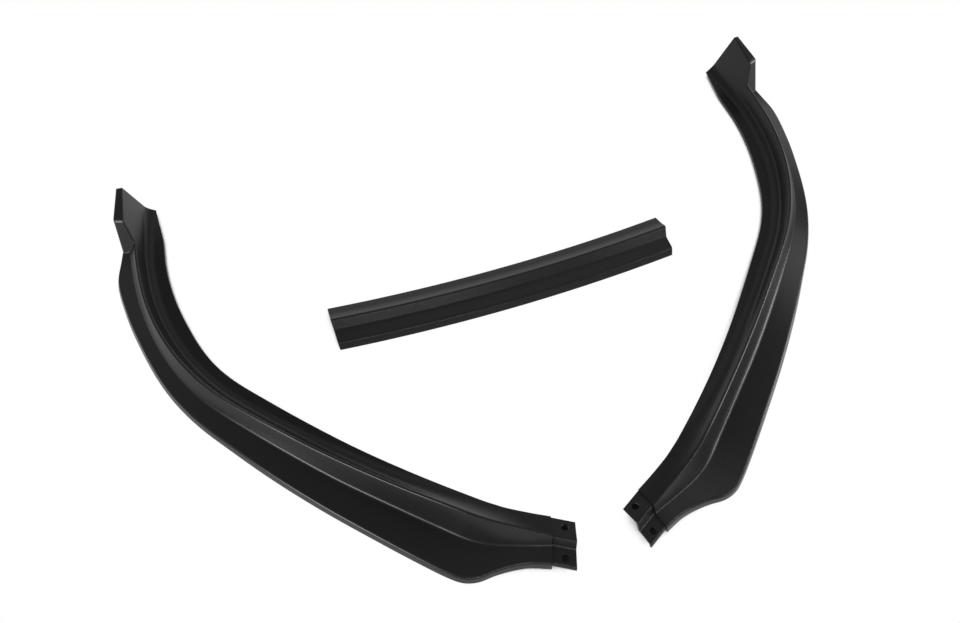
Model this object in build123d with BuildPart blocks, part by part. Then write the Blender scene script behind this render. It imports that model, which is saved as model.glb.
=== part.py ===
from build123d import *

import os
from math import atan2, ceil, cos, degrees, radians, sin, tan

# Front lip set for a car bumper: two mirrored side wings and a centre strip, moulded in black plastic.
# The three mouldings lie apart on a floor, each in the pose it rests in.
# Millimetres and degrees, +Z up, the front of the set towards -Y.

# Plan of the wing's ridge from the joint outwards: a straight and four tangent arcs to the end of the fin
JOINT_HEADING = 11.0
JOINT_RUN = 56.0
NECK_RADIUS = 280.0
NECK_TURN = 10.0
FRONT_RADIUS = 2200.0
FRONT_TURN = 8.5
CORNER_RADIUS = 350.0
CORNER_TURN = 40.0
SIDE_RADIUS = 600.0
WING_RUN = 726.0
FIN_RUN = 92.5

# Shell and the rounding of its long edges
WALL = 3.0
RIM_DRAFT = 4.0
RIM_ROUND = 4.0
FOOT_ROUND = 3.0
RIDGE_ROUND = 2.5
KNEE_ROUND = 16.0
STATION_STEP = 42.0

# Tongue that slips under the centre strip
TONGUE_LENGTH = 29.0
TONGUE_LAP = 4.0
TONGUE_DROP = 2.6
TONGUE_RIM_CUT = 4.0
HOLE_DIAMETER = 9.0
HOLE_REACH = 16.0
LOWER_HOLE_OUT = 18.0
UPPER_HOLE_IN = 15.5
HOLE_MARGIN = 1.0

# Upright fin at the rear end
FIN_FRONT_RAKE = 16.7
REAR_CUT_LEAN = 13.8
UNDERCUT_SETBACK = 31.0
UNDERCUT_START_IN = 28.3
UNDERCUT_END_IN = 15.5
UNDERCUT_DEPTH = 40.0
UNDERCUT_HEIGHT = 14.0

# Centre strip
CENTRE_RADIUS = 2750.0
CENTRE_LENGTH = 497.0
CENTRE_END_FLARE = 2.5
CENTRE_FLANGE = 32.0

# Where the mouldings lie on the floor
LEFT_JOINT = (96.2, -367.4)
RIGHT_JOINT = (218.3, -330.7)
RIGHT_TURN = 36.5
CENTRE_MIDDLE = (48.7, -11.1)
CENTRE_TURN = 18.0


class Section:
    """One cross section: distances out from the ridge line and heights over the floor."""

    def __init__(self, along, ridge, foot, rim, rim_height, knee, inner):
        rim_top = (rim[0] - RIM_DRAFT, rim[1] + rim_height)
        self.along = along
        self.skin = [rim, rim_top, foot, (0.0, ridge), (-knee[0], knee[1]), (-inner[0], inner[1])]


class FinSection(Section):
    """One cross section of the hollow fin, with the same count of corners."""

    def __init__(self, along, outer_foot, outer_waist, outer_top, inner_top, knee, inner):
        self.along = along
        self.skin = [outer_foot, outer_waist, outer_top, inner_top]
        self.skin += [(-knee[0], knee[1]), (-inner[0], inner[1])]


JOINT = Section(0, 34.5, (7.5, 19.5), (33, 6), 12, (12, 28.5), (25.3, 24))
WING = [
    Section(-12, 33, (6, 20), (32, 6.5), 12, (12, 27), (25.3, 23)),
    JOINT,
    Section(25, 41, (12, 18), (37.3, 4), 11, (11.5, 32), (24.2, 26)),
    Section(56, 48.5, (17, 14.5), (50.5, 1.5), 11, (11.5, 36), (24, 27.5)),
    Section(72, 51.7, (19, 12.5), (62.7, 0.5), 11, (11.5, 37), (24.7, 28)),
    Section(86, 53.8, (20, 11), (68.5, 0.1), 11, (11.5, 37.5), (25, 28.5)),
    Section(105, 55, (20, 9), (68.7, 0), 11, (11.5, 37.5), (25.2, 29)),
    Section(0.193 * WING_RUN, 53, (18.5, 6.5), (66.3, 0), 11, (11, 34.5), (25, 28.5)),
    Section(0.275 * WING_RUN, 46.2, (17.3, 5.8), (62, 0), 11, (10.5, 27), (25.2, 25.5)),
    Section(0.372 * WING_RUN, 40.7, (17.2, 6.7), (57.8, 0), 11, (10, 20), (26.3, 19.5)),
    Section(0.482 * WING_RUN, 38, (15.8, 9.5), (52.2, 0), 10.5, (9, 13), (28.6, 13)),
    Section(0.594 * WING_RUN, 38.5, (14.5, 13.2), (45.3, 0), 10, (8, 10), (30.4, 8.2)),
    Section(0.702 * WING_RUN, 40.5, (15.2, 16.4), (40.8, 0), 9.5, (7, 8.5), (29.5, 6.5)),
    Section(0.813 * WING_RUN, 42, (12.8, 19.4), (36.6, 0), 9, (6, 8), (32.2, 6.5)),
    Section(0.895 * WING_RUN, 42, (11.8, 21.3), (38.7, 0), 9, (5.5, 8), (31, 6.5)),
    Section(WING_RUN - 36, 41.8, (12.3, 22.3), (42, 0.2), 9, (5, 8), (29.3, 6.5)),
    Section(WING_RUN - 20, 41.6, (12.6, 22.6), (41, 1.5), 9, (5, 8), (28.8, 6.5)),
    Section(WING_RUN - 4, 41.5, (12.8, 23), (34.5, 7.5), 8, (5, 8), (28.5, 6.5)),
    Section(WING_RUN + 12, 41.5, (13, 23.5), (28, 14), 7, (5, 8), (28.7, 6.5)),
    Section(WING_RUN + 30, 41.5, (11, 26), (22, 18), 6, (5, 8), (29, 6.5)),
]
FIN_FRONT = FinSection(WING_RUN - 6, (30, 13), (27.5, 24), (21, 66.5), (4.5, 65), (5, 8), (28.5, 6.5))
FIN_REAR = FinSection(WING_RUN + FIN_RUN, (18, 13), (16.5, 24), (6, 91), (-2.4, 102), (3, 8), (32.5, 6.5))
FINS = (FIN_FRONT, FIN_REAR)

# The ridge line in plan, led in from before the joint
LEAD = 60.0
heading = Vector(-cos(radians(JOINT_HEADING)), sin(radians(JOINT_HEADING)))
with BuildLine() as ridge_line:
    joint_run = Line(heading * -LEAD, heading * JOINT_RUN)
    neck = JernArc(joint_run @ 1, joint_run % 1, NECK_RADIUS, -NECK_TURN)
    front = JernArc(neck @ 1, neck % 1, FRONT_RADIUS, -FRONT_TURN)
    bend = JernArc(front @ 1, front % 1, CORNER_RADIUS, -CORNER_TURN)
    side_run = LEAD + WING_RUN + FIN_RUN - sum(line.length for line in (joint_run, neck, front, bend))
    JernArc(bend @ 1, bend % 1, SIDE_RADIUS, -degrees(side_run / SIDE_RADIUS))
ridge_wire = ridge_line.wire()


def upright_plane(along):
    """Upright plane square to the ridge line, its x pointing out."""
    at = ridge_wire.position_at(along + LEAD, position_mode=PositionMode.LENGTH)
    way = ridge_wire.tangent_at(along + LEAD, position_mode=PositionMode.LENGTH)
    return Plane(origin=at, x_dir=(-way.Y, way.X, 0), z_dir=way)


def blended(along):
    """Skin at any station, each corner on a smooth curve through the sections that stays over the floor."""
    i = max(k for k in range(len(WING) - 1) if WING[k].along <= along)
    before, here, there = WING[max(i - 1, 0)], WING[i], WING[i + 1]
    after = WING[min(i + 2, len(WING) - 1)]
    span = there.along - here.along
    t = (along - here.along) / span
    skin = []
    for p, q, r, s in zip(before.skin, here.skin, there.skin, after.skin):
        p, q, r, s = Vector(*p), Vector(*q), Vector(*r), Vector(*s)
        leave = (r - p) * (span / (there.along - before.along))
        arrive = (s - q) * (span / (after.along - here.along))
        ends = q * (2 * t**3 - 3 * t**2 + 1) + r * (3 * t**2 - 2 * t**3)
        corner = ends + leave * (t**3 - 2 * t**2 + t) + arrive * (t**3 - t**2)
        skin.append(Vector(corner.X, max(corner.Y, 0)))
    return skin


def inset(skin, depth):
    """The skin moved inwards by a depth, its first end kept at its height."""
    points = [Vector(p) for p in skin]
    ways = [(b - a).normalized() for a, b in zip(points, points[1:])]
    sides = [Vector(-w.Y, w.X) * depth for w in ways]
    first = points[0] + sides[0]
    moved = [first - ways[0] * ((first.Y - points[0].Y) / ways[0].Y)]
    for i in range(1, len(points) - 1):
        turn = ways[i - 1].X * ways[i].Y - ways[i - 1].Y * ways[i].X
        gap = sides[i] - sides[i - 1]
        step = (gap.X * ways[i].Y - gap.Y * ways[i].X) / turn
        moved.append(points[i] + sides[i - 1] + ways[i - 1] * step)
    return moved + [points[-1] + sides[-1]]


WING_ROUNDS = [RIM_ROUND, FOOT_ROUND, RIDGE_ROUND, KNEE_ROUND]
FIN_ROUNDS = [RIM_ROUND, RIDGE_ROUND, RIDGE_ROUND, KNEE_ROUND]


def rounded_run(points, radii):
    """Straight lines through the points, with an arc at every inner corner that has a radius."""
    start = points[0]
    for i, radius in enumerate(radii, start=1):
        if radius == 0:
            Line(start, points[i])
            start = points[i]
            continue
        back = (points[i - 1] - points[i]).normalized()
        ahead = (points[i + 1] - points[i]).normalized()
        half = radians(back.get_angle(ahead) / 2)
        bisector = (back + ahead).normalized()
        first = points[i] + back * (radius / tan(half))
        middle = points[i] + bisector * (radius / sin(half) - radius)
        end = points[i] + ahead * (radius / tan(half))
        Line(start, first)
        ThreePointArc(first, middle, end)
        start = end
    Line(start, points[-1])


def shell_face(plane, skin, depth, rounds):
    """Closed section of one wall thickness under a skin, plain inside but for the knee."""
    outer = inset(skin, depth)
    lower = inset(skin, depth + WALL)
    with BuildSketch(plane) as face:
        with BuildLine():
            rounded_run(outer, rounds)
            Line(outer[-1], lower[-1])
            rounded_run(lower, [0, 0, 0, KNEE_ROUND + WALL])
            Line(lower[0], outer[0])
        make_face()
    return face.sketch


def bulkhead_face(plane, skin):
    """Closed section that fills the space under the fin's skin, its edge in the middle of the wall."""
    half = WALL / 2
    middle = inset(skin, half)
    rounds = [RIM_ROUND - half, RIDGE_ROUND - half, RIDGE_ROUND - half, KNEE_ROUND + half]
    low = Vector(middle[3].X, middle[4].Y - WALL)
    with BuildSketch(plane) as face:
        with BuildLine():
            rounded_run(middle, rounds)
            Polyline(middle[-1], low, middle[0])
        make_face()
    return face.sketch


# One wing in its own frame: the ridge at the joint over the origin, outwards -X, rearwards +Y
fin_front = Plane(
    origin=(0, upright_plane(WING_RUN).origin.Y, 0),
    x_dir=(1, 0, 0),
    z_dir=(0, cos(radians(FIN_FRONT_RAKE)), -sin(radians(FIN_FRONT_RAKE))),
)
rear_cut = Plane(
    origin=(0, upright_plane(WING_RUN + FIN_RUN).origin.Y, 0),
    x_dir=(1, 0, 0),
    z_dir=(0, cos(radians(REAR_CUT_LEAN)), sin(radians(REAR_CUT_LEAN))),
)
joint_plane = upright_plane(0)
stations = [WING[0].along]
for here, there in zip(WING, WING[1:]):
    steps = ceil((there.along - here.along) / STATION_STEP)
    stations += [here.along + (there.along - here.along) * i / steps for i in range(1, steps + 1)]

with BuildPart() as body:
    loft(sections=[shell_face(upright_plane(s), blended(s), 0, WING_ROUNDS) for s in stations], ruled=True)
    split(bisect_by=Plane.YZ, keep=Keep.BOTTOM)
    split(bisect_by=fin_front, keep=Keep.BOTTOM)

with BuildPart() as fin:
    fin_shells = [shell_face(upright_plane(s.along), s.skin, 0, FIN_ROUNDS) for s in FINS]
    loft(sections=fin_shells, ruled=True)
    split(bisect_by=fin_front, keep=Keep.TOP)
    split(bisect_by=rear_cut, keep=Keep.BOTTOM)
    with BuildSketch() as undercut:
        with BuildLine():
            start = upright_plane(WING_RUN + UNDERCUT_SETBACK).from_local_coords((-UNDERCUT_START_IN, 0, 0))
            end = upright_plane(WING_RUN + FIN_RUN).from_local_coords((-UNDERCUT_END_IN, 0, 0))
            inwards = Vector(UNDERCUT_DEPTH, 0)
            Polyline(start, end, end + inwards, start + inwards, close=True)
        make_face()
    extrude(amount=UNDERCUT_HEIGHT, mode=Mode.SUBTRACT)

with BuildPart() as fin_wall:
    fin_fills = [bulkhead_face(upright_plane(s.along), s.skin) for s in FINS]
    loft(sections=fin_fills, ruled=True)
    split(bisect_by=fin_front, keep=Keep.TOP)
    split(bisect_by=fin_front.offset(WALL), keep=Keep.BOTTOM)

with BuildPart() as wing:
    add(body.part)
    add(fin.part)
    add(fin_wall.part)

# The tongue laps under the wing's wall at the joint and stands out with two holes
rim, rim_top = Vector(*JOINT.skin[0]), Vector(*JOINT.skin[1])
tongue_skin = [rim + (rim_top - rim).normalized() * TONGUE_RIM_CUT] + JOINT.skin[1:]

with BuildPart() as tongue:
    extrude(shell_face(joint_plane.offset(TONGUE_LAP), tongue_skin, TONGUE_DROP, WING_ROUNDS), amount=-LEAD)
    split(bisect_by=Plane.YZ.offset(TONGUE_LENGTH), keep=Keep.BOTTOM)
    add(body.part, mode=Mode.SUBTRACT)
    skin = inset(tongue_skin, TONGUE_DROP)
    for low, high, out in ((skin[1], skin[2], LOWER_HOLE_OUT), (skin[4], skin[5], -UPPER_HOLE_IN)):
        slope = (high - low).normalized()
        spot = low + slope * ((out - low.X) / slope.X)
        back = (HOLE_REACH - out * joint_plane.x_dir.X) / heading.X
        at = joint_plane.from_local_coords((spot.X, spot.Y, back))
        up = joint_plane.x_dir * slope.Y + Vector(0, 0, -slope.X)
        plate = Plane(origin=at, x_dir=heading, z_dir=up)
        with Locations(plate.offset(HOLE_MARGIN)):
            Hole(HOLE_DIAMETER / 2, depth=WALL + 2 * HOLE_MARGIN)

# The centre strip has the section of the joint with a wider flange, tipped back until the flange rests
knee, inner = Vector(*JOINT.skin[4]), Vector(*JOINT.skin[5])
flange = (inner - knee).normalized()
strip_skin = [Vector(*p) for p in JOINT.skin[:-1]]
strip_skin.append(knee + flange * ((-CENTRE_FLANGE - knee.X) / flange.X))
toe = strip_skin[0]
heel = inset(strip_skin, WALL)[-1]
tilt = degrees(atan2(heel.Y - toe.Y, toe.X - heel.X))
tipped = [(p - toe).rotate(Axis.Z, tilt) for p in strip_skin]
strip_skin = [p - Vector(tipped[3].X, 0) for p in tipped]
half_sweep = degrees(CENTRE_LENGTH / CENTRE_RADIUS / 2) + 1
hub = Vector(0, CENTRE_RADIUS)
start_side = Vector(0, -1).rotate(Axis.Z, -half_sweep)
strip_plane = Plane(
    origin=hub + start_side * CENTRE_RADIUS,
    x_dir=start_side,
    z_dir=Vector(-1, 0).rotate(Axis.Z, -half_sweep),
)

with BuildPart() as strip:
    revolve(
        shell_face(strip_plane, strip_skin, 0, WING_ROUNDS),
        axis=Axis(hub, (0, 0, 1)),
        revolution_arc=2 * half_sweep,
    )
    for side in (1, -1):
        square = Vector(side, 0).rotate(Axis.Z, -side * CENTRE_END_FLARE)
        split(bisect_by=Plane(origin=(side * CENTRE_LENGTH / 2, 0, 0), z_dir=square), keep=Keep.BOTTOM)

left_place = Location((LEFT_JOINT[0], LEFT_JOINT[1], 0))
right_place = Location((RIGHT_JOINT[0], RIGHT_JOINT[1], 0), (0, 0, RIGHT_TURN))

with BuildPart() as side_wing_left:
    with Locations(left_place):
        add(wing.part)

with BuildPart() as joint_tongue_left:
    with Locations(left_place):
        add(tongue.part)

with BuildPart() as side_wing_right:
    with Locations(right_place):
        add(mirror(wing.part, about=Plane.YZ, mode=Mode.PRIVATE))

with BuildPart() as joint_tongue_right:
    with Locations(right_place):
        add(mirror(tongue.part, about=Plane.YZ, mode=Mode.PRIVATE))

with BuildPart() as centre_strip:
    with Locations(Location((CENTRE_MIDDLE[0], CENTRE_MIDDLE[1], 0), (0, 0, CENTRE_TURN))):
        add(strip.part)

side_wing_left.part.label = "side_wing_left"
joint_tongue_left.part.label = "joint_tongue_left"
side_wing_right.part.label = "side_wing_right"
joint_tongue_right.part.label = "joint_tongue_right"
centre_strip.part.label = "centre_strip"

os.makedirs("parts", exist_ok=True)
export_step(side_wing_left.part, "parts/side_wing_left.step")
export_step(joint_tongue_left.part, "parts/joint_tongue_left.step")
export_step(side_wing_right.part, "parts/side_wing_right.step")
export_step(joint_tongue_right.part, "parts/joint_tongue_right.step")
export_step(centre_strip.part, "parts/centre_strip.step")
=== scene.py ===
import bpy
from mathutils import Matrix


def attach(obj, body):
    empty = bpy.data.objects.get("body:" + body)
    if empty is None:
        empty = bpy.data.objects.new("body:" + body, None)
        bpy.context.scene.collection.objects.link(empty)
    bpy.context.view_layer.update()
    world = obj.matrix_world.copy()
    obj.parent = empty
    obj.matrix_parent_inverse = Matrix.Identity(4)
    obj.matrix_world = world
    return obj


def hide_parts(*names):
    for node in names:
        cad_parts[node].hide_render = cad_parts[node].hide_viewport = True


bl_info = {
    "name": "Front Splitter Lip Set",
    "version": (1, 0, 0),
    "blender": (4, 5, 0),
    "location": "3D View > Sidebar > Splitter Lip",
    "description": "Builds the mouldings of a front splitter lip and a plain stage for them",
    "category": "Add Mesh",
}

from collections import namedtuple
from math import atan2, cos, pi, radians, sin, tan

import bmesh
import bpy
from mathutils import Matrix, Vector

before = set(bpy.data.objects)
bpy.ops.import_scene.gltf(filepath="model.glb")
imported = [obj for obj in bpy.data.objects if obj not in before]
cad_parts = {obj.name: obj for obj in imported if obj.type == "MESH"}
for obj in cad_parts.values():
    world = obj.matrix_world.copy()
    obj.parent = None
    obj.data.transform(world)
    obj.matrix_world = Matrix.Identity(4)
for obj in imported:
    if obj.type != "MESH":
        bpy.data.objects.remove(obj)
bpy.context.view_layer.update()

# Lengths are in millimetres and angles in degrees, apart from those said to be in metres
MM = 0.001

# Plan of a wing's ridge line: a straight, then arcs as (radius, turn)
JOINT_HEADING = 11.0
JOINT_RUN = 56.0
RIDGE_ARCS = ((280.0, 10.0), (2200.0, 8.5), (350.0, 40.0), (600.0, 20.0))
WING_RUN = 726.0
FIN_RUN = 92.5

# Cross sections of a wing: distances out from the ridge line, heights over the floor
Section = namedtuple("Section", "along ridge foot rim rim_height knee inner")
JOINT = Section(0, 34.5, (7.5, 19.5), (33, 6), 12, (12, 28.5), (25.3, 24))
WING = (
    Section(-12, 33, (6, 20), (32, 6.5), 12, (12, 27), (25.3, 23)),
    JOINT,
    Section(25, 41, (12, 18), (37.3, 4), 11, (11.5, 32), (24.2, 26)),
    Section(56, 48.5, (17, 14.5), (50.5, 1.5), 11, (11.5, 36), (24, 27.5)),
    Section(72, 51.7, (19, 12.5), (62.7, 0.5), 11, (11.5, 37), (24.7, 28)),
    Section(86, 53.8, (20, 11), (68.5, 0.1), 11, (11.5, 37.5), (25, 28.5)),
    Section(105, 55, (20, 9), (68.7, 0), 11, (11.5, 37.5), (25.2, 29)),
    Section(0.193 * WING_RUN, 53, (18.5, 6.5), (66.3, 0), 11, (11, 34.5), (25, 28.5)),
    Section(0.275 * WING_RUN, 46.2, (17.3, 5.8), (62, 0), 11, (10.5, 27), (25.2, 25.5)),
    Section(0.372 * WING_RUN, 40.7, (17.2, 6.7), (57.8, 0), 11, (10, 20), (26.3, 19.5)),
    Section(0.482 * WING_RUN, 38, (15.8, 9.5), (52.2, 0), 10.5, (9, 13), (28.6, 13)),
    Section(0.594 * WING_RUN, 38.5, (14.5, 13.2), (45.3, 0), 10, (8, 10), (30.4, 8.2)),
    Section(0.702 * WING_RUN, 40.5, (15.2, 16.4), (40.8, 0), 9.5, (7, 8.5), (29.5, 6.5)),
    Section(0.813 * WING_RUN, 42, (12.8, 19.4), (36.6, 0), 9, (6, 8), (32.2, 6.5)),
    Section(0.895 * WING_RUN, 42, (11.8, 21.3), (38.7, 0), 9, (5.5, 8), (31, 6.5)),
    Section(WING_RUN - 36, 41.8, (12.3, 22.3), (42, 0.2), 9, (5, 8), (29.3, 6.5)),
    Section(WING_RUN - 20, 41.6, (12.6, 22.6), (41, 1.5), 9, (5, 8), (28.8, 6.5)),
    Section(WING_RUN - 4, 41.5, (12.8, 23), (34.5, 7.5), 8, (5, 8), (28.5, 6.5)),
    Section(WING_RUN + 12, 41.5, (13, 23.5), (28, 14), 7, (5, 8), (28.7, 6.5)),
    Section(WING_RUN + 30, 41.5, (11, 26), (22, 18), 6, (5, 8), (29, 6.5)),
)
RIM_DRAFT = 4.0
RIM_TRIM = 0.5
CORNERS = range(6)
RIM, RIM_TOP, FOOT, RIDGE, KNEE, INNER = CORNERS

# Rows of a wing: close ones over the first length, wider ones from there to the fin's plate.
# The end stations are searched for between two sections.
CLOSE_RUN = 140.0
CLOSE_ROWS = 36
WIDE_ROWS = 84
JOINT_SEARCH = (WING[0].along, WING[2].along)
PLATE_SEARCH = (WING_RUN - 36, WING_RUN + 30)
SEARCH_STEPS = 40

# Roundings are marked in a layer of the mesh, as shares of the widest one. Those of the long
# edges and of the fin's heel are (radius, most width that it takes of each face beside).
WEIGHTS = "bevel_weight_edge"
WIDEST_ROUND = 16.0
EDGE_ROUNDS = {
    RIM_TOP: (4.0, 3.0),
    FOOT: (4.5, WIDEST_ROUND),
    RIDGE: (2.5, WIDEST_ROUND),
    KNEE: (100.0, 11.0),
}
HEEL_ROUND = (20.0, 9.5)
ROUND_SEGMENTS = 5
# Roundings of the fin's other edges are only the width that they take of each face
PLATE_ROUND = 4.0
VALLEY_ROUND = 2.0
FIN_TIP_ROUND = 2.2

# Broken edges of the walls, and the angle from which an edge is shaded as sharp
BREAK_ANGLE = 40.0
BREAK_SEGMENTS = 2
SHARP_ANGLE = 35.0

# Fin: foot, waist, outer top, inner top and knee as (out, height) at two stations.
# Its rows have a middle too, at a share of the way from the knee to the inner top.
FIN_FRONT_ALONG = WING_RUN - 6
FIN_FRONT = ((30, 13), (27.5, 24), (23.2, 66.8), (5.5, 65.3), (-5, 8))
FIN_REAR_ALONG = WING_RUN + FIN_RUN
FIN_REAR = ((18, 13), (16.5, 24), (6, 91), (-2, 97.6), (-5.5, 13.5))
FIN_OUTER_TOP, FIN_INNER_TOP, FIN_MIDDLE, FIN_KNEE, FIN_INNER = range(2, 7)
FIN_MIDDLE_SHARE = 0.42
# Rows from the fin's plate to its rear edge, as shares of the way; at one the undercut starts
UNDERCUT_START = 0.38
FIN_ROWS = (0.19, UNDERCUT_START, 0.6, 0.8, 1.0)
# The plate's station on the ridge line and its lean, and the lean of the rear cut
PLATE_ALONG = WING_RUN - 4.8
PLATE_RAKE = 20.0
REAR_CUT_LEAN = 13.8
# Undercut of the flange below the fin, from its corner to its rear end, as (along, out, height)
UNDERCUT_CORNER = (WING_RUN + 31.0, -28.3, 6.7)
UNDERCUT_END = (FIN_REAR_ALONG, -15.5, 6.9)

# Joint tongue, and its two holes
TONGUE_LENGTH = 29.0
TONGUE_LAP = 4.0
TONGUE_DROP = 2.6
TONGUE_RIM_CUT = 4.0
TONGUE_MARGIN = 3.2
HOLE_DIAMETER = 9.0
HOLE_SEGMENTS = 32
HOLE_REACH = 16.0
LOWER_HOLE_OUT = 18.0
UPPER_HOLE_IN = 15.5

# Centre strip: it is bowed a little too far at first, and its ends are then cut off
CENTRE_RADIUS = 2750.0
CENTRE_LENGTH = 497.0
CENTRE_SPARE_TURN = 1.0
CENTRE_STEPS = 72
CENTRE_END_FLARE = 2.5
CENTRE_FLANGE = 32.0

# Places of the mouldings on the floor, and their turns
LEFT_JOINT = (96.2, -367.4)
RIGHT_JOINT = (218.3, -330.7)
RIGHT_TURN = 36.5
CENTRE_MIDDLE = (48.7, -11.1)
CENTRE_TURN = 18.0

# Plastic: its reflection, the clouds in its tint and sheen, and its grain, in metres
PLASTIC_IOR = 1.5
PLASTIC_SPECULAR = 0.17
CLOUD_SCALE = 14.0
CLOUD_DETAIL = 4.0
CLOUD_TINTS = (0.9, 1.1)
GRAIN_SCALE = 900.0
GRAIN_DETAIL = 2.0
GRAIN_STRENGTH = 0.03
GRAIN_DEPTH = 0.0004

# Floor, in metres: its size and finish, and how the cover of the pieces over it sets the painted
# shade that makes it dark
FLOOR_HALF_WIDTH = 20.0
FLOOR_ROUGHNESS = 0.9
FLOOR_SPECULAR = 0.1
COVER_SAMPLES = 8
COVER_REACH = 0.035
COVER_RANGE = (0.45, 0.62)
# Painted deep shade under each tongue: the ends of its line, which show through the holes, and
# its radii
TONGUE_SHADES = (((113.8, -386.3), (114.7, -350.4)), ((221.4, -354.4), (203.0, -324.9)))
SHADE_CORE = 5.5
SHADE_RIM = 9.0

# Lamps, in metres: the stage's power that each one takes, its size, its place and what it faces
Lamp = namedtuple("Lamp", "name power size place target")
LAMPS = (
    Lamp("front strip", "strip_power", (0.65, 0.85), (-1.19, -1.41, 0.48), (-0.2, -0.15, 0.48)),
    Lamp("side strip", "side_power", (0.55, 0.85), (1.95, 0.0, 0.48), (0.35, 0.0, 0.48)),
    Lamp("back soft", "back_power", (0.7, 0.7), (1.23, 0.32, 1.04), (0.35, 0.0, 0.0)),
    Lamp("front edge", "edge_power", (0.9, 0.16), (0.35, -1.55, 0.75), (0.1, -0.2, 0.0)),
    Lamp("right edge", "edge_power", (0.9, 0.16), (1.58, -0.83, 0.68), (0.2, -0.33, 0.0)),
    Lamp("back fill", "fill_power", (1.2, 1.0), (0.05, 1.05, 1.05), (0.0, -0.1, 0.0)),
)

# Camera: where it looks on the floor, from how far and how steeply, and its lens
VIEW_TARGET = (11.8, -53.1)
VIEW_DISTANCE = 1050.0
VIEW_ELEVATION = 62.17
VIEW_LENS = 28.125
VIEW_SENSOR = 36.0


def ridge_at(along):
    """Point of the ridge line in plan and its heading."""
    angle = pi - radians(JOINT_HEADING)
    point = Vector((cos(angle), sin(angle))) * min(along, JOINT_RUN)
    left = along - JOINT_RUN
    for radius, turn in RIDGE_ARCS:
        if left <= 0:
            break
        swept = min(left / radius, radians(turn))
        centre = point + Vector((sin(angle), -cos(angle))) * radius
        angle -= swept
        point = centre - Vector((sin(angle), -cos(angle))) * radius
        left -= swept * radius
    return point, Vector((cos(angle), sin(angle)))


def lift(along, out, height):
    """Wing-frame point at a distance along the ridge, out from it and over the floor."""
    point, heading = ridge_at(along)
    spot = point + Vector((-heading.y, heading.x)) * out
    return Vector((spot.x, spot.y, height))


def skin_of(section):
    """The six corners of a section's skin, from the rim to the inner edge."""
    rim = (section.rim[0] - RIM_TRIM, section.rim[1])
    rim_top = (rim[0] - RIM_DRAFT, rim[1] + section.rim_height)
    knee = (-section.knee[0], section.knee[1])
    inner = (-section.inner[0], section.inner[1])
    return [Vector(p) for p in (rim, rim_top, section.foot, (0, section.ridge), knee, inner)]


def corner_at(along, corner):
    """One skin corner at any station, on a smooth curve through the sections."""
    last = len(WING) - 1
    i = max([k for k in range(last) if WING[k].along <= along] or [0])
    before, here, there, after = (WING[max(0, min(last, i + k))] for k in (-1, 0, 1, 2))
    span = there.along - here.along
    t = (along - here.along) / span
    p, q, r, s = (skin_of(k)[corner] for k in (before, here, there, after))
    leave = (r - p) * (span / (there.along - before.along))
    arrive = (s - q) * (span / (after.along - here.along))
    ends = q * (2 * t**3 - 3 * t**2 + 1) + r * (3 * t**2 - 2 * t**3)
    spot = ends + leave * (t**3 - 2 * t**2 + t) + arrive * (t**3 - t**2)
    return lift(along, spot.x, max(spot.y, 0))


def along_at_plane(corner, origin, normal, low, high):
    """Station at which a corner's curve meets a plane."""
    side = (corner_at(low, corner) - origin).dot(normal) < 0
    for _ in range(SEARCH_STEPS):
        middle = (low + high) / 2
        if ((corner_at(middle, corner) - origin).dot(normal) < 0) == side:
            low = middle
        else:
            high = middle
    return low


def on_plane(start, end, origin, normal):
    """Point where the line through two points meets a plane."""
    way = end - start
    return start + way * ((origin - start).dot(normal) / way.dot(normal))


def inset(skin, depth):
    """The skin moved inwards by a depth, its first end kept at its height."""
    ways = [(b - a).normalized() for a, b in zip(skin, skin[1:])]
    sides = [Vector((-w.y, w.x)) * depth for w in ways]
    first = skin[0] + sides[0]
    moved = [first - ways[0] * ((first.y - skin[0].y) / ways[0].y)]
    for i in range(1, len(skin) - 1):
        gap = sides[i] - sides[i - 1]
        step = gap.cross(ways[i]) / ways[i - 1].cross(ways[i])
        moved.append(skin[i] + sides[i - 1] + ways[i - 1] * step)
    return moved + [skin[-1] + sides[-1]]


def new_row(bm, points):
    """A row of vertices joined by edges."""
    row = [bm.verts.new(p) for p in points]
    for pair in zip(row, row[1:]):
        bm.edges.new(pair)
    return row


def extrude_row(bm, row, points):
    """Extrudes a row of vertices and moves the new row to the given points."""
    edges = [bm.edges.get(pair) for pair in zip(row, row[1:])]
    grown = bmesh.ops.extrude_edge_only(bm, edges=edges)["geom"]
    fresh = {v for v in grown if isinstance(v, bmesh.types.BMVert)}
    follow = []
    for vert, point in zip(row, points):
        ahead = next(e.other_vert(vert) for e in vert.link_edges if e.other_vert(vert) in fresh)
        ahead.co = point
        follow.append(ahead)
    return follow


def chain(bm, rows, corner):
    """Edges that run along one corner of successive rows."""
    return [bm.edges.get((a[corner], b[corner])) for a, b in zip(rows, rows[1:])]


def soften(bm, rows, corner, radius, most):
    """Marks the edges along a corner of successive rows to be rounded to a radius."""
    mark = bm.edges.layers.float.get(WEIGHTS)
    for row, edge in zip(rows, chain(bm, rows, corner)):
        before = row[corner].co - row[corner - 1].co
        after = row[corner + 1].co - row[corner].co
        edge[mark] = min(radius * tan(before.angle(after) / 2), most) / WIDEST_ROUND


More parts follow.
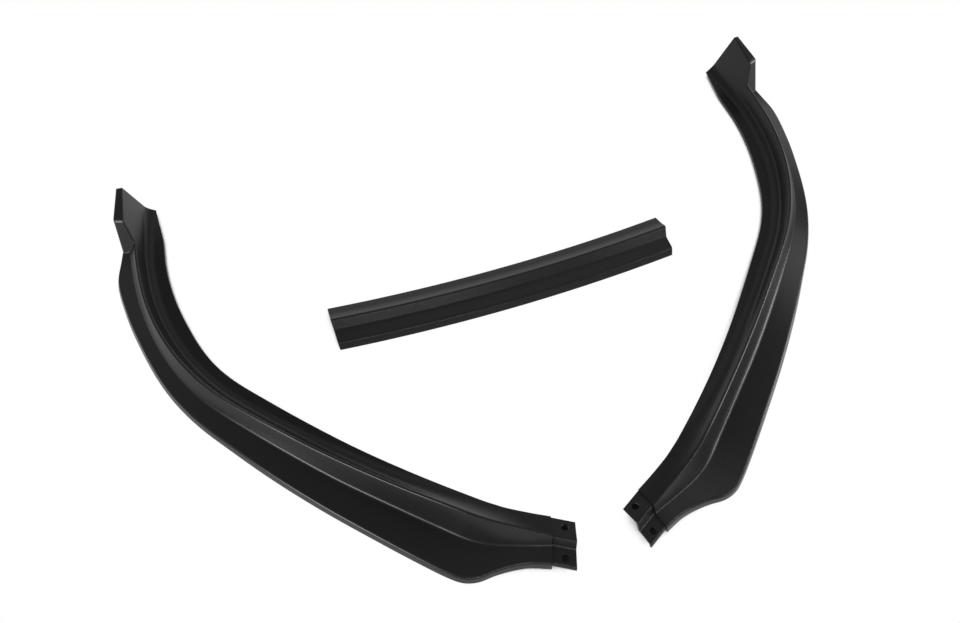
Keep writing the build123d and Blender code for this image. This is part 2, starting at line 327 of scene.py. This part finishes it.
def body_rows(bm, joint_plane, plate_plane):
    """Rows of a wing's skin from the joint to the fin's plate."""
    starts = [along_at_plane(c, *joint_plane, *JOINT_SEARCH) for c in CORNERS]
    ends = [along_at_plane(c, *plate_plane, *PLATE_SEARCH) for c in CORNERS]
    close = CLOSE_RUN / (ends[RIDGE] - starts[RIDGE])
    shares = [close * i / CLOSE_ROWS for i in range(CLOSE_ROWS)]
    shares += [close + (1 - close) * i / WIDE_ROWS for i in range(WIDE_ROWS + 1)]

    def row_at(share):
        return [corner_at(a + (b - a) * share, c) for c, a, b in zip(CORNERS, starts, ends)]

    rows = [new_row(bm, row_at(shares[0]))]
    for share in shares[1:]:
        rows.append(extrude_row(bm, rows[-1], row_at(share)))
    return rows


def fin_rows(bm, last, plate_plane):
    """Rows of the fin from the body's last row to the rear cut, and the face of its plate."""
    lean = radians(REAR_CUT_LEAN)
    rear_foot = Vector((0, ridge_at(FIN_REAR_ALONG)[0].y, 0))
    rear_plane = (rear_foot, Vector((0, cos(lean), sin(lean))))
    front = [lift(FIN_FRONT_ALONG, *p) for p in FIN_FRONT]
    rear = [lift(FIN_REAR_ALONG, *p) for p in FIN_REAR]
    tops = (FIN_OUTER_TOP, FIN_INNER_TOP)
    upper = [bm.verts.new(on_plane(front[i], rear[i], *plate_plane)) for i in tops]
    plate = bm.faces.new([last[RIM_TOP], *upper, last[RIDGE], last[FOOT]])
    rows = [[last[RIM], last[RIM_TOP], *upper, last[RIDGE], last[KNEE], last[INNER]]]
    first = [v.co.copy() for v in rows[0]]
    tail = [on_plane(a, b, *rear_plane) for a, b in zip(front, rear)]
    tail.insert(FIN_MIDDLE, tail[-1].lerp(tail[FIN_INNER_TOP], FIN_MIDDLE_SHARE))
    nick = lift(*UNDERCUT_CORNER)
    tail.append(on_plane(nick, lift(*UNDERCUT_END), *rear_plane))
    for share in FIN_ROWS:
        points = [a.lerp(b, share) for a, b in zip(first, tail)]
        if share <= UNDERCUT_START:
            points[FIN_INNER] = first[FIN_INNER].lerp(nick, share / UNDERCUT_START)
        else:
            past = (share - UNDERCUT_START) / (1 - UNDERCUT_START)
            points[FIN_INNER] = nick.lerp(tail[FIN_INNER], past)
        rows.append(extrude_row(bm, rows[-1], points))
    return rows, plate


def wing_sheet():
    """Outer skin of a wing from the joint to the rear cut, as a sheet in the wing frame."""
    rake = radians(PLATE_RAKE)
    joint_plane = (Vector((0, 0, 0)), Vector((1, 0, 0)))
    plate_foot = Vector((0, ridge_at(PLATE_ALONG)[0].y, 0))
    plate_plane = (plate_foot, Vector((0, cos(rake), -sin(rake))))
    bm = bmesh.new()
    body = body_rows(bm, joint_plane, plate_plane)
    fin, plate = fin_rows(bm, body[-1], plate_plane)

    mark = bm.edges.layers.float.new(WEIGHTS)
    for corner, limits in EDGE_ROUNDS.items():
        soften(bm, body, corner, *limits)
    soften(bm, fin, FIN_KNEE, *HEEL_ROUND)
    for corner in (FIN_OUTER_TOP, FIN_INNER_TOP):
        for share, edge in zip(FIN_ROWS, chain(bm, fin, corner)):
            edge[mark] = (PLATE_ROUND + (FIN_TIP_ROUND - PLATE_ROUND) * share) / WIDEST_ROUND
    tail = fin[-1]
    bm.edges.get((tail[FIN_OUTER_TOP], tail[FIN_INNER_TOP]))[mark] = FIN_TIP_ROUND / WIDEST_ROUND
    for edge in chain(bm, body, RIDGE)[-2:]:
        edge[mark] = VALLEY_ROUND / WIDEST_ROUND
    low_corners = {body[-1][RIDGE], body[-1][FOOT]}
    for edge in plate.edges:
        low = low_corners & set(edge.verts)
        edge[mark] = (VALLEY_ROUND if low else PLATE_ROUND) / WIDEST_ROUND
    bmesh.ops.recalc_face_normals(bm, faces=bm.faces)
    return bm


def tongue_sheet():
    """Stepped-down end of a wing with its holes, as a sheet in the wing frame."""
    joint = skin_of(JOINT)
    way = (joint[RIM_TOP] - joint[RIM]).normalized()
    skin = inset([joint[RIM] + way * TONGUE_RIM_CUT] + joint[1:], TONGUE_DROP)
    # Two more lines, beside the roundings of the lower plate, keep these clear of its hole
    margin = (skin[FOOT] - skin[RIM_TOP]).normalized() * TONGUE_MARGIN
    skin[FOOT:FOOT] = [skin[RIM_TOP] + margin, skin[FOOT] - margin]
    added = 2
    heading = ridge_at(0)[1]
    side = Vector((-heading.y, heading.x))

    def row_at(reach):
        return [lift((reach - side.x * p.x) / heading.x, p.x, p.y) for p in skin]

    bm = bmesh.new()
    rows = [new_row(bm, row_at(-TONGUE_LAP))]
    rows.append(extrude_row(bm, rows[-1], row_at(TONGUE_LENGTH)))
    for low, out in ((RIM_TOP + 1, LOWER_HOLE_OUT), (KNEE + added, -UPPER_HOLE_IN)):
        slope = (skin[low + 1] - skin[low]).normalized()
        spot = skin[low] + slope * ((out - skin[low].x) / slope.x)
        centre = lift((HOLE_REACH - side.x * out) / heading.x, spot.x, spot.y)
        up = Vector((side.x * slope.y, side.y * slope.y, -slope.x))
        tilt = up.to_track_quat("Z", "X").to_matrix().to_4x4()
        rim = bmesh.ops.create_circle(
            bm,
            segments=HOLE_SEGMENTS,
            radius=HOLE_DIAMETER / 2,
            matrix=Matrix.Translation(centre) @ tilt,
        )["verts"]
        loop = {e for v in rim for e in v.link_edges}
        ends = {rows[0][low], rows[0][low + 1]}
        plate = next(f for f in bm.faces if ends <= set(f.verts))
        border = list(plate.edges)
        bmesh.ops.delete(bm, geom=[plate], context="FACES_ONLY")
        bmesh.ops.triangle_fill(bm, use_beauty=True, edges=border + list(loop))
    bm.edges.layers.float.new(WEIGHTS)
    for corner, column in ((RIM_TOP, RIM_TOP), (FOOT, FOOT + added), (RIDGE, RIDGE + added)):
        soften(bm, rows, column, *EDGE_ROUNDS[corner])
    bmesh.ops.recalc_face_normals(bm, faces=bm.faces)
    return bm


def strip_sheet(look):
    """Outer skin of the centre strip as a sheet, its ridge's middle over the origin."""
    skin = skin_of(JOINT)
    flange = (skin[INNER] - skin[KNEE]).normalized()
    skin[INNER] = skin[KNEE] + flange * ((-CENTRE_FLANGE - skin[KNEE].x) / flange.x)
    heel = inset(skin, look.wall / MM)[-1] - skin[RIM]
    tip = Matrix.Rotation(atan2(heel.y, -heel.x), 2)
    tipped = [tip @ (p - skin[RIM]) for p in skin]
    half = CENTRE_LENGTH / CENTRE_RADIUS / 2 + radians(CENTRE_SPARE_TURN)
    hub = Vector((0, CENTRE_RADIUS, 0))
    bm = bmesh.new()
    row = new_row(bm, [Vector((0, tipped[RIDGE].x - p.x, p.y)) for p in tipped])
    bmesh.ops.rotate(bm, verts=row, cent=hub, matrix=Matrix.Rotation(-half, 3, "Z"))
    bmesh.ops.spin(
        bm,
        geom=list(bm.verts) + list(bm.edges),
        cent=hub,
        axis=(0, 0, 1),
        angle=2 * half,
        steps=CENTRE_STEPS,
    )
    bm.verts.ensure_lookup_table()
    rows = [bm.verts[i:i + len(row)] for i in range(0, len(bm.verts), len(row))]
    bm.edges.layers.float.new(WEIGHTS)
    for corner, limits in EDGE_ROUNDS.items():
        soften(bm, rows, corner, *limits)
    flare = radians(CENTRE_END_FLARE)
    for side in (-1, 1):
        bmesh.ops.bisect_plane(
            bm,
            geom=list(bm.verts) + list(bm.edges) + list(bm.faces),
            plane_co=(side * CENTRE_LENGTH / 2, 0, 0),
            plane_no=(side * cos(flare), -sin(flare), 0),
            clear_outer=True,
        )
    bmesh.ops.recalc_face_normals(bm, faces=bm.faces)
    return bm


def floor_place(spot, turn):
    """Matrix that turns a moulding and moves it to its place on the floor."""
    move = Matrix.Translation((spot[0] * MM, spot[1] * MM, 0))
    return move @ Matrix.Rotation(radians(turn), 4, "Z")


def apply_modifiers(piece):
    """Gives an object the mesh that its modifiers make."""
    bpy.context.view_layer.update()
    source = piece.data
    finished = piece.evaluated_get(bpy.context.evaluated_depsgraph_get())
    made = bpy.data.meshes.new_from_object(finished)
    piece.modifiers.clear()
    piece.data = made
    bpy.data.meshes.remove(source)


def add_wall(piece, thickness):
    """Gives a sheet its wall, and keeps the roundings to the outer skin."""
    outside = len(piece.data.vertices)
    wall = piece.modifiers.new("wall", "SOLIDIFY")
    wall.thickness = thickness
    wall.offset = -1
    wall.use_even_offset = True
    wall.use_rim = True
    apply_modifiers(piece)
    weights = piece.data.attributes[WEIGHTS].data
    for edge in piece.data.edges:
        if min(edge.vertices) >= outside:
            weights[edge.index].value = 0


def round_edges(piece, edge_break):
    """Rounds the marked edges of a shell and breaks the others that are sharp."""
    rounds = piece.modifiers.new("rounds", "BEVEL")
    rounds.width = WIDEST_ROUND * MM
    rounds.segments = ROUND_SEGMENTS
    rounds.limit_method = "WEIGHT"
    rounds.use_clamp_overlap = False
    soft = piece.modifiers.new("soft edges", "BEVEL")
    soft.width = edge_break
    soft.segments = BREAK_SEGMENTS
    soft.limit_method = "ANGLE"
    soft.angle_limit = radians(BREAK_ANGLE)
    soft.use_clamp_overlap = False
    apply_modifiers(piece)


def shell(bm, look, place, name):
    """Mesh of a sheet with its wall and roundings, moved to its place on the floor."""
    if sum(f.normal.z * f.calc_area() for f in bm.faces) < 0:
        bmesh.ops.reverse_faces(bm, faces=bm.faces)
    bmesh.ops.scale(bm, verts=bm.verts, vec=(MM, MM, MM))
    bmesh.ops.transform(bm, verts=bm.verts, matrix=place)
    if place.determinant() < 0:
        bmesh.ops.reverse_faces(bm, faces=bm.faces)
    mesh = bpy.data.meshes.new(name)
    bm.to_mesh(mesh)
    bm.free()
    piece = bpy.data.objects.new(name, mesh)
    bpy.context.scene.collection.objects.link(piece)
    add_wall(piece, look.wall)
    round_edges(piece, look.edge_break)
    done = piece.data
    for vert in done.vertices:
        vert.co.z = max(vert.co.z, 0)
    bpy.data.objects.remove(piece)
    done.name = name
    return done


def finish_piece(mesh, node, material):
    """Adds the object of a shell that stands for a CAD node."""
    mesh.shade_smooth()
    mesh.set_sharp_from_angle(angle=radians(SHARP_ANGLE))
    mesh.materials.append(material)
    piece = bpy.data.objects.new(mesh.name, mesh)
    bpy.context.scene.collection.objects.link(piece)
    even = piece.modifiers.new("even shading", "WEIGHTED_NORMAL")
    even.keep_sharp = True
    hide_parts(node)
    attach(piece, "root")


def new_material(name):
    """A material, its node tree and its main shader."""
    material = bpy.data.materials.new(name)
    material.use_nodes = True
    tree = material.node_tree
    return material, tree, tree.nodes["Principled BSDF"]


def noise(tree, place, scale, detail):
    """Noise over a place."""
    node = tree.nodes.new("ShaderNodeTexNoise")
    node.inputs["Scale"].default_value = scale
    node.inputs["Detail"].default_value = detail
    tree.links.new(place, node.inputs["Vector"])
    return node.outputs["Fac"]


def map_range(tree, value, source, target=(0.0, 1.0)):
    """A value taken from one range to another."""
    node = tree.nodes.new("ShaderNodeMapRange")
    for name, number in zip(("From Min", "From Max", "To Min", "To Max"), (*source, *target)):
        node.inputs[name].default_value = number
    tree.links.new(value, node.inputs["Value"])
    return node.outputs["Result"]


def mix_colour(tree, share, first, second):
    """A colour between two, by a share."""
    node = tree.nodes.new("ShaderNodeMix")
    node.data_type = "RGBA"
    node.inputs["A"].default_value = first
    node.inputs["B"].default_value = second
    tree.links.new(share, node.inputs["Factor"])
    return node.outputs["Result"]


def number_math(tree, operation, first, second):
    """An operation on two numbers."""
    node = tree.nodes.new("ShaderNodeMath")
    node.operation = operation
    tree.links.new(first, node.inputs[0])
    tree.links.new(second, node.inputs[1])
    return node.outputs["Value"]


def vector_math(tree, operation, *values):
    """Node of an operation on vectors, each of them a socket or a constant."""
    node = tree.nodes.new("ShaderNodeVectorMath")
    node.operation = operation
    for socket, value in zip(node.inputs, values):
        if isinstance(value, Vector):
            socket.default_value = value
        else:
            tree.links.new(value, socket)
    return node


def black_plastic(look):
    """Satin black moulded plastic with a fine grain and faint cloudiness in its sheen."""
    material = bpy.data.materials.get("black_moulded_plastic")
    if material:
        return material
    material, tree, shader = new_material("black_moulded_plastic")
    shader.inputs["IOR"].default_value = PLASTIC_IOR
    shader.inputs["Specular IOR Level"].default_value = PLASTIC_SPECULAR
    place = tree.nodes.new("ShaderNodeTexCoord").outputs["Object"]
    cloud = noise(tree, place, CLOUD_SCALE, CLOUD_DETAIL)
    base = Vector(look.plastic[:3])
    tints = [(*(base * part), 1) for part in CLOUD_TINTS]
    tree.links.new(mix_colour(tree, cloud, *tints), shader.inputs["Base Color"])
    gloss = map_range(tree, cloud, (0.0, 1.0), (look.gloss_low, look.gloss_high))
    tree.links.new(gloss, shader.inputs["Roughness"])
    bump = tree.nodes.new("ShaderNodeBump")
    bump.inputs["Strength"].default_value = GRAIN_STRENGTH
    bump.inputs["Distance"].default_value = GRAIN_DEPTH
    tree.links.new(noise(tree, place, GRAIN_SCALE, GRAIN_DETAIL), bump.inputs["Height"])
    tree.links.new(bump.outputs["Normal"], shader.inputs["Normal"])
    return material


def clear_of_shade(tree, place, ends):
    """0 in the core of the painted deep shade along a line, 1 past its rim."""
    start, end = (Vector((*spot, 0)) * MM for spot in ends)
    way = end - start
    offset = vector_math(tree, "SUBTRACT", place, start).outputs["Vector"]
    along = vector_math(tree, "DOT_PRODUCT", offset, way / way.length_squared)
    share = tree.nodes.new("ShaderNodeClamp")
    tree.links.new(along.outputs["Value"], share.inputs["Value"])
    nearest = vector_math(tree, "SCALE", way)
    tree.links.new(share.outputs["Result"], nearest.inputs["Scale"])
    reach = vector_math(tree, "DISTANCE", offset, nearest.outputs["Vector"])
    return map_range(tree, reach.outputs["Value"], (SHADE_CORE * MM, SHADE_RIM * MM))


def white_paper(stage):
    """Ground that is seen as plain white, with painted deep shade where the pieces cover it."""
    material, tree, shader = new_material("white_paper")
    shader.inputs["Roughness"].default_value = FLOOR_ROUGHNESS
    shader.inputs["Specular IOR Level"].default_value = FLOOR_SPECULAR
    # Painted shade: an occlusion mask and the patches under the tongues turn the floor's colour
    # to the shade colour and take away its white glow where the pieces cover it
    cover = tree.nodes.new("ShaderNodeAmbientOcclusion")
    cover.samples = COVER_SAMPLES
    cover.inputs["Distance"].default_value = COVER_REACH
    clear = map_range(tree, cover.outputs["AO"], COVER_RANGE)
    place = tree.nodes.new("ShaderNodeTexCoord").outputs["Object"]
    for ends in TONGUE_SHADES:
        clear = number_math(tree, "MINIMUM", clear, clear_of_shade(tree, place, ends))
    # The floor's colour goes from the ground colour to the painted shade colour where it is
    # covered
    ground = mix_colour(tree, clear, stage.shade, stage.ground)
    tree.links.new(ground, shader.inputs["Base Color"])

    path = tree.nodes.new("ShaderNodeLightPath").outputs
    seen = number_math(tree, "MAXIMUM", path["Is Camera Ray"], path["Is Glossy Ray"])
    seen = number_math(tree, "MAXIMUM", seen, path["Is Transmission Ray"])
    glow = tree.nodes.new("ShaderNodeEmission")
    mix = tree.nodes.new("ShaderNodeMixShader")
    tree.links.new(number_math(tree, "MULTIPLY", seen, clear), mix.inputs["Fac"])
    tree.links.new(shader.outputs["BSDF"], mix.inputs[1])
    tree.links.new(glow.outputs["Emission"], mix.inputs[2])
    tree.links.new(mix.outputs["Shader"], tree.nodes["Material Output"].inputs["Surface"])
    return material


def add_floor(scene, material):
    """Adds the floor, which is part of the stage."""
    bm = bmesh.new()
    bmesh.ops.create_grid(bm, x_segments=1, y_segments=1, size=FLOOR_HALF_WIDTH)
    mesh = bpy.data.meshes.new("floor")
    bm.to_mesh(mesh)
    bm.free()
    mesh.materials.append(material)
    floor = bpy.data.objects.new("floor", mesh)
    scene.collection.objects.link(floor)


def add_world(scene, level):
    """Adds plain white surroundings."""
    world = bpy.data.worlds.new("studio")
    world.use_nodes = True
    scene.world = world
    dome = world.node_tree.nodes["Background"]
    dome.inputs["Color"].default_value = (1, 1, 1, 1)
    dome.inputs["Strength"].default_value = level


def add_lamp(scene, lamp, power):
    """Adds a rectangular soft light that faces its target."""
    data = bpy.data.lights.new(lamp.name, "AREA")
    data.energy = power
    data.shape = "RECTANGLE"
    data.size, data.size_y = lamp.size
    light = bpy.data.objects.new(lamp.name, data)
    light.location = lamp.place
    aim = Vector(lamp.target) - Vector(lamp.place)
    light.rotation_euler = aim.to_track_quat("-Z", "Y").to_euler()
    scene.collection.objects.link(light)


def add_camera(scene):
    """Adds the camera that looks down on the set from the front."""
    view = bpy.data.cameras.new("view")
    view.sensor_fit = "HORIZONTAL"
    view.sensor_width = VIEW_SENSOR
    view.lens = VIEW_LENS
    camera = bpy.data.objects.new("view", view)
    tilt = radians(VIEW_ELEVATION)
    camera.location = (
        VIEW_TARGET[0] * MM,
        (VIEW_TARGET[1] - VIEW_DISTANCE * cos(tilt)) * MM,
        VIEW_DISTANCE * sin(tilt) * MM,
    )
    camera.rotation_euler = (pi / 2 - tilt, 0, 0)
    scene.collection.objects.link(camera)
    scene.camera = camera


class LipLook(bpy.types.PropertyGroup):
    """Sizes and colours of the lip set."""

    wall: bpy.props.FloatProperty(
        name="Wall",
        description="Thickness of the mouldings",
        default=0.003,
        min=0.001,
        unit="LENGTH",
    )
    edge_break: bpy.props.FloatProperty(
        name="Edge Break",
        description="Width of the walls' broken edges",
        default=0.00025,
        min=0.0001,
        unit="LENGTH",
    )
    plastic: bpy.props.FloatVectorProperty(
        name="Plastic",
        description="Colour of the plastic",
        subtype="COLOR",
        size=4,
        default=(0.0075, 0.0075, 0.008, 1),
    )
    gloss_low: bpy.props.FloatProperty(
        name="Gloss Low",
        description="Roughness where the sheen is clearest",
        default=0.25,
        subtype="FACTOR",
    )
    gloss_high: bpy.props.FloatProperty(
        name="Gloss High",
        description="Roughness where the sheen is dullest",
        default=0.31,
        subtype="FACTOR",
    )


class StageLook(bpy.types.PropertyGroup):
    """Light and ground of the stage."""

    ground: bpy.props.FloatVectorProperty(
        name="Ground",
        description="Colour of the floor",
        subtype="COLOR",
        size=4,
        default=(0.9, 0.9, 0.9, 1),
    )
    # Colour of the painted shade that the floor takes where the pieces cover it
    shade: bpy.props.FloatVectorProperty(
        name="Shade",
        description="Floor in the deep shade under the pieces",
        subtype="COLOR",
        size=4,
        default=(0.004, 0.004, 0.004, 1),
    )
    strip_power: bpy.props.FloatProperty(
        name="Strip Power",
        description="Low wide light at the front left",
        default=38.0,
        unit="POWER",
    )
    side_power: bpy.props.FloatProperty(
        name="Side Power",
        description="Low wide light at the right",
        default=26.0,
        unit="POWER",
    )
    back_power: bpy.props.FloatProperty(
        name="Back Power",
        description="Soft light at the back right",
        default=5.0,
        unit="POWER",
    )
    fill_power: bpy.props.FloatProperty(
        name="Fill Power",
        description="Broad soft light at the back",
        default=2.0,
        unit="POWER",
    )
    edge_power: bpy.props.FloatProperty(
        name="Edge Power",
        description="Two narrow lights, at the front and the right, for the edges at the joint",
        default=8.0,
        unit="POWER",
    )
    sky: bpy.props.FloatProperty(
        name="Sky",
        description="Level of the plain surroundings",
        default=0.4,
    )


class LIP_OT_side_wings(bpy.types.Operator):
    """Builds both side wings with their fins and joint tongues"""

    bl_idname = "lip.side_wings"
    bl_label = "Side Wings"

    def execute(self, context):
        look = context.scene.lip_look
        mirror = Matrix.Scale(-1, 4, (1, 0, 0))
        places = {
            "left": floor_place(LEFT_JOINT, 0),
            "right": floor_place(RIGHT_JOINT, RIGHT_TURN) @ mirror,
        }
        for side, place in places.items():
            for stem, sheet in (("side_wing_", wing_sheet), ("joint_tongue_", tongue_sheet)):
                node = stem + side
                mesh = shell(sheet(), look, place, "shell_" + node)
                finish_piece(mesh, node, black_plastic(look))
        return {"FINISHED"}


class LIP_OT_centre_strip(bpy.types.Operator):
    """Builds the bowed centre strip"""

    bl_idname = "lip.centre_strip"
    bl_label = "Centre Strip"

    def execute(self, context):
        look = context.scene.lip_look
        place = floor_place(CENTRE_MIDDLE, CENTRE_TURN)
        mesh = shell(strip_sheet(look), look, place, "shell_centre_strip")
        finish_piece(mesh, "centre_strip", black_plastic(look))
        return {"FINISHED"}


class LIP_OT_stage(bpy.types.Operator):
    """Sets the floor, the surroundings, the lamps and the camera"""

    bl_idname = "lip.stage"
    bl_label = "Stage"

    def execute(self, context):
        scene = context.scene
        stage = scene.lip_stage
        scene.view_settings.view_transform = "Standard"
        add_floor(scene, white_paper(stage))
        add_world(scene, stage.sky)
        for lamp in LAMPS:
            add_lamp(scene, lamp, getattr(stage, lamp.power))
        add_camera(scene)
        return {"FINISHED"}


class LIP_PT_panel(bpy.types.Panel):
    """Sidebar list of the lip set's pieces and sizes"""

    bl_idname = "LIP_PT_panel"
    bl_label = "Splitter Lip"
    bl_space_type = "VIEW_3D"
    bl_region_type = "UI"
    bl_category = "Splitter Lip"

    def draw(self, context):
        column = self.layout.column()
        for operator in (LIP_OT_side_wings, LIP_OT_centre_strip, LIP_OT_stage):
            column.operator(operator.bl_idname)
        for group in (context.scene.lip_look, context.scene.lip_stage):
            for name in group.__annotations__:
                column.prop(group, name)


CLASSES = (
    LipLook,
    StageLook,
    LIP_OT_side_wings,
    LIP_OT_centre_strip,
    LIP_OT_stage,
    LIP_PT_panel,
)


def register():
    for cls in CLASSES:
        bpy.utils.register_class(cls)
    bpy.types.Scene.lip_look = bpy.props.PointerProperty(type=LipLook)
    bpy.types.Scene.lip_stage = bpy.props.PointerProperty(type=StageLook)


def unregister():
    del bpy.types.Scene.lip_stage
    del bpy.types.Scene.lip_look
    for cls in reversed(CLASSES):
        bpy.utils.unregister_class(cls)


def main():
    register()
    bpy.ops.lip.side_wings()
    bpy.ops.lip.centre_strip()
    bpy.ops.lip.stage()


if __name__ == "__main__":
    main()
